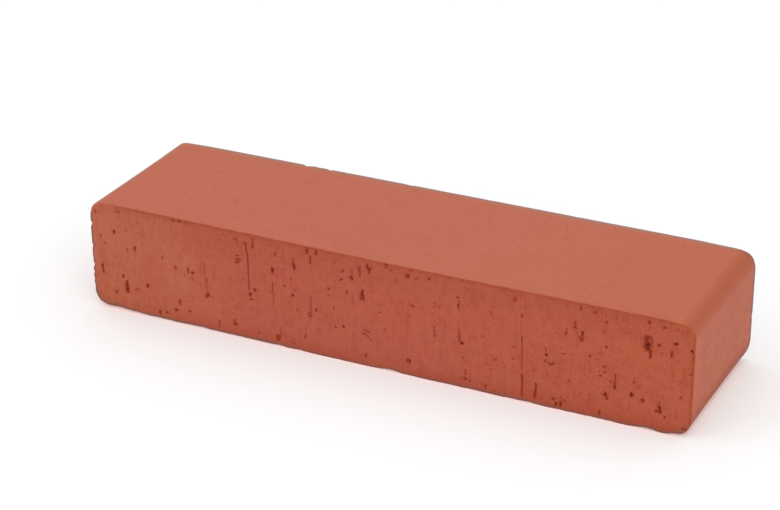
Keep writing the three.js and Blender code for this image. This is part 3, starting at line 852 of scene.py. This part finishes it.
def fired_clay(colours):
    """Clay that is smooth and clouded where the die shaped it, streaked and grainy where the wire
    cut it, and painted dark with shade inside the tears. Noises of several sizes add up to a shade,
    which picks between a lighter and a darker colour, and the mesh's marks say where each further
    colour lies over it, several of them painted shade."""
    material = bpy.data.materials.new("fired_clay")
    nodes = Nodes(material)
    tear_shade_here, cut_here, corner_here = nodes.mark("torn"), nodes.mark("cut"), nodes.mark("corner")
    # rim holds the dark rim, which is painted shade along the bed, under the right end and in the
    # large tear.
    rim_here, bruise_here = nodes.mark("rim"), nodes.mark("bruised")

    clouds, dapple = nodes.grain(CLOUD), nodes.grain(DAPPLE)
    mottle, grit = nodes.grain(MOTTLE, MOTTLE_STRETCH, HARSH), nodes.grain(GRIT, roughness=HARSH)
    streaks = nodes.grain(STREAK, STREAK_STRETCH)

    along, across, up = (
        nodes.node("ShaderNodeSeparateXYZ", {0: nodes.place()}, axis) for axis in "XYZ"
    )
    on_end = nodes.ramp(along.size(), *END_SKIN) * (1.0 - cut_here)
    skin_shade = clouds * SKIN_CLOUDS + dapple * SKIN_DAPPLE + grit * SKIN_GRIT
    skin = nodes.layers(
        colours.skin,
        (on_end, colours.end),
        (nodes.ramp(skin_shade, *SKIN_SHADES), colours.skin_deep),
        (on_end * nodes.fall(across, *RUBBED_STRIP) * EDGE_SHARE, colours.end_edge),
        (corner_here * CORNER_SHARE, colours.corner),
        # Shade painted on the skin towards the bed.
        (nodes.fall(up, *FOOT_SHADE_RISE) * FOOT_SHADE_SHARE, colours.foot),
        (on_end * nodes.ramp(mottle, *MOTTLE_SHADES) * MOTTLE_SHARE, colours.corner),
    )

    paler = nodes.fall(along + (clouds - 0.5) * PALE_WAVER, *PALE_PART)
    warmer = nodes.ramp(along + (clouds - 0.5) * WARM_WAVER, *WARM_PART)
    cut_shade = (streaks - 0.5) * CUT_STREAKS + (dapple - 0.5) * (CUT_DAPPLE - LESS_DAPPLE * paler)
    cut_shade = cut_shade + (clouds - 0.5) * CUT_CLOUDS + (grit - 0.5) * CUT_GRIT
    contrast = CUT_CONTRAST + PALE_CONTRAST * paler + WARM_CONTRAST * warmer
    cut_shade = 0.5 + cut_shade * contrast
    cut = nodes.layers(
        colours.cut,
        (paler, colours.cut_pale),
        (nodes.fall(along, *DUSTY_STRIP) * DUST_SHARE, colours.cut_edge),
        (nodes.ramp(cut_shade, *CUT_SHADES), colours.cut_deep),
    )

    def gritty(share, plain, more):
        """The share times a plain part and more of it where the grit is bright."""
        return share * (plain + more * grit)

    on_top = nodes.ramp(up, *HIGH_RIM) * nodes.fall(along, *RIGHT_RIM)
    # The rim's colours, which paint shade along the bed, under the right end and in the large tear.
    rim = nodes.layers(
        colours.left_rim,
        (nodes.ramp(along, *LEFT_RIM), colours.top_rim),
        (1.0 - on_top, colours.end_rim),
        (cut_here, colours.rim),
    )
    # Painted shade inside the tears, darkest in the deepest.
    painted_tear_shade = nodes.mix(nodes.ramp(tear_shade_here, *PIT_SHADES), colours.tear, colours.pit)
    specks = nodes.fall(nodes.scattered(SPECKS_APART), SPECK_CORE, SPECK_SIZE)
    specks = specks * nodes.ramp(up, *FLAT_TOP) * (1.0 - cut_here)
    clay = nodes.mix(cut_here, skin, cut)
    clay = nodes.mix(warmer * (1.0 - END_WARMTH * on_end), clay, colours.warmth, "MULTIPLY")
    clay = nodes.layers(
        clay,
        (gritty(bruise_here, *BRUISE_GRIT), colours.bruise),
        (gritty(tear_shade_here, *TEAR_GRIT).within(), painted_tear_shade),
        (gritty(rim_here, *RIM_GRIT).within(), rim),
        (specks * SPECK_SHARE, colours.tear),
    )

    relief = grit * (SKIN_BUMP + CUT_BUMP * cut_here) + dapple * DAPPLE_BUMP
    bump = {"Strength": BUMP_STRENGTH, "Distance": GRAIN_HEIGHT, "Height": relief}
    bump = nodes.node("ShaderNodeBump", bump)
    roughness = SKIN_ROUGHNESS + (CUT_ROUGHNESS - SKIN_ROUGHNESS) * cut_here
    roughness = roughness + DAPPLE_ROUGHNESS * (dapple - 0.5)
    varying = {"Base Color": clay, "Roughness": roughness, "Normal": bump}
    skin_shader, cut_shader = (
        nodes.node("ShaderNodeBsdfPrincipled", {**varying, "Specular IOR Level": gloss})
        for gloss in (SKIN_GLOSS, CUT_GLOSS)
    )
    shader = nodes.node("ShaderNodeMixShader", {0: cut_here, 1: skin_shader, 2: cut_shader})
    nodes.node("ShaderNodeOutputMaterial", {"Surface": shader})
    return material


# ---- The stage ----

PICTURE_WIDTH = 780  # pixels
CAMERA_FOCUS = 2302.5  # focal length in those pixels
SENSOR = 36.0  # millimetres, Blender's usual sensor
CAMERA_PLACE = Vector((328.9, -693.7, 395.0)) * MM
CAMERA_AZIMUTH = math.radians(26.044)  # how far the view turns left of +Y
CAMERA_ELEVATION = math.radians(25.331)  # how far it looks down
CAMERA_ROLL = math.radians(-0.165)

FLOOR_SIZE = 6.0  # metres
FLOOR_GAP = 0.02 * MM  # under the bed, so that the two don't flicker
RIGHT_LAMP_PLACE = Vector((1.1, -1.3, 0.9))
LEFT_LAMP_PLACE = Vector((-1.1, -1.3, 0.9))
LAMP_SIZE = 1.2
WHITE = (1.0, 1.0, 1.0, 1.0)

# Where the red light and shade painted on the floor come and go, from the brick's middle.
SIDE_ALONG, SIDE_ACROSS = span(112, 118), span(33, 35)
END_ALONG, END_ACROSS = span(117.2, 118.3), span(28, 32)
FAR_START, FAR_END, FAR_ACROSS = span(108, 117), span(117.5, 126), span(22, 40)


def seen_directly(nodes):
    """1 for what the camera sees straight, in a gloss or through glass, and 0 for other light."""
    camera, gloss, glass = (
        nodes.node("ShaderNodeLightPath", output=f"Is {ray} Ray")
        for ray in ("Camera", "Glossy", "Transmission")
    )
    return (camera + gloss + glass).within()


def white_surroundings(scene, strength):
    """A world that lights the brick plainly and looks pure white."""
    world = bpy.data.worlds.new("surroundings")
    nodes = Nodes(world)
    glow = strength + (1.0 - strength) * seen_directly(nodes)
    light = nodes.node("ShaderNodeBackground", {"Color": WHITE, "Strength": glow})
    nodes.node("ShaderNodeOutputWorld", {"Surface": light})
    scene.world = world


def floor_material(settings):
    """A pale floor: lit white that keeps its shadows, with a little glow where it is seen, and red
    light and shade from the brick painted on it next to its sides and ends.
    """
    material = bpy.data.materials.new("pale_floor")
    nodes = Nodes(material)
    lit = nodes.node("ShaderNodeBsdfDiffuse", {"Color": rgba(settings.floor)})
    along, across = (
        nodes.node("ShaderNodeSeparateXYZ", {0: nodes.place()}, axis).size() for axis in "XY"
    )
    by_side = nodes.fall(across, *SIDE_ACROSS) * nodes.fall(along, *SIDE_ALONG)
    past_end = nodes.ramp(along, *FAR_START) * nodes.fall(along, *FAR_END)
    past_end = past_end * nodes.fall(across, *FAR_ACROSS)
    by_end = nodes.fall(along, *END_ALONG) * nodes.fall(across, *END_ACROSS)
    glows = (
        (by_side, settings.side_glow), (past_end, settings.far_glow), (by_end, settings.end_glow)
    )
    seen = nodes.layers(settings.floor_seen, *glows)
    seen_lit = nodes.node("ShaderNodeBsdfDiffuse", {"Color": seen})
    glow = nodes.node("ShaderNodeEmission", {"Color": WHITE, "Strength": settings.floor_glow})
    bright = nodes.node("ShaderNodeAddShader", {0: seen_lit, 1: glow})
    floor = nodes.node("ShaderNodeMixShader", {0: seen_directly(nodes), 1: lit, 2: bright})
    nodes.node("ShaderNodeOutputMaterial", {"Surface": floor})
    return material


def new_object(name, data):
    """An object of the scene for some data."""
    made = bpy.data.objects.new(name, data)
    bpy.context.scene.collection.objects.link(made)
    return made


def make_floor(settings):
    """A square floor just under the bed."""
    half = FLOOR_SIZE / 2.0
    mesh = bpy.data.meshes.new("floor")
    corners = [(-half, -half), (half, -half), (half, half), (-half, half)]
    mesh.from_pydata([(x, y, -FLOOR_GAP) for x, y in corners], [], [(0, 1, 2, 3)])
    mesh.materials.append(floor_material(settings))
    floor = new_object("floor", mesh)


def soft_lamp(name, place, watts):
    """A square lamp that faces the brick."""
    light = bpy.data.lights.new(name, "AREA")
    light.shape = "SQUARE"
    light.size = LAMP_SIZE
    light.energy = watts
    lamp = new_object(name, light)
    lamp.location = place
    lamp.rotation_euler = (-place).to_track_quat("-Z", "Y").to_euler()


def make_camera(scene):
    """A camera at a place, turned by azimuth, elevation and roll."""
    data = bpy.data.cameras.new("camera")
    data.sensor_width = SENSOR
    data.lens = CAMERA_FOCUS * SENSOR / PICTURE_WIDTH
    camera = new_object("camera", data)
    camera.matrix_world = Matrix.Translation(CAMERA_PLACE)
    tilt = math.pi / 2.0 - CAMERA_ELEVATION
    for angle, axis in ((CAMERA_AZIMUTH, "Z"), (tilt, "X"), (CAMERA_ROLL, "Z")):
        camera.matrix_world @= Matrix.Rotation(angle, 4, axis)
    scene.camera = camera


# ---- Operators and panel ----


class BRICK_OT_clay(bpy.types.Operator):
    """Make the fired brick with its torn faces, in place of its plain solid"""

    bl_idname = "clay_brick.clay"
    bl_label = "Fired clay brick"

    def execute(self, context):
        settings = context.scene.clay_brick
        sizes = {name: getattr(settings.sizes, name) / MM for name in ClaySizes.__annotations__}
        points, marks, faces = brick_surface(sizes)
        mesh = make_mesh("brick_body", points, faces, marks)
        mesh.materials.append(fired_clay(settings.colours))
        brick = new_object("brick_body", mesh)
        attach(brick, "root")
        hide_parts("brick")
        return {"FINISHED"}


class BRICK_OT_stage(bpy.types.Operator):
    """Make the pale floor, the soft lamps, the white surroundings and the camera"""

    bl_idname = "clay_brick.stage"
    bl_label = "Floor, lamps and camera"

    def execute(self, context):
        settings = context.scene.clay_brick.stage
        scene = context.scene
        scene.view_settings.view_transform = "Standard"
        white_surroundings(scene, settings.sky)
        make_floor(settings)
        soft_lamp("right_lamp", RIGHT_LAMP_PLACE, settings.right_lamp)
        soft_lamp("left_lamp", LEFT_LAMP_PLACE, settings.left_lamp)
        make_camera(scene)
        return {"FINISHED"}


class BRICK_PT_panel(bpy.types.Panel):
    """Lists the brick's sizes, colours and light, and the operators that make it"""

    bl_idname = "BRICK_PT_panel"
    bl_label = "Clay Brick"
    bl_space_type = "VIEW_3D"
    bl_region_type = "UI"
    bl_category = "Clay Brick"

    def draw(self, context):
        settings = context.scene.clay_brick
        for group in (settings.sizes, settings.colours, settings.stage):
            box = self.layout.box()
            for name in type(group).__annotations__:
                box.prop(group, name)
        self.layout.operator(BRICK_OT_clay.bl_idname)
        self.layout.operator(BRICK_OT_stage.bl_idname)


CLASSES = (
    ClaySizes, ClayColours, StageSettings, BrickSettings,
    BRICK_OT_clay, BRICK_OT_stage, BRICK_PT_panel,
)


def register():
    for made in CLASSES:
        bpy.utils.register_class(made)
    bpy.types.Scene.clay_brick = bpy.props.PointerProperty(type=BrickSettings)


def unregister():
    del bpy.types.Scene.clay_brick
    for made in reversed(CLASSES):
        bpy.utils.unregister_class(made)


def main():
    """Makes everything."""
    register()
    bpy.ops.clay_brick.stage()
    bpy.ops.clay_brick.clay()


if __name__ == "__main__":
    main()
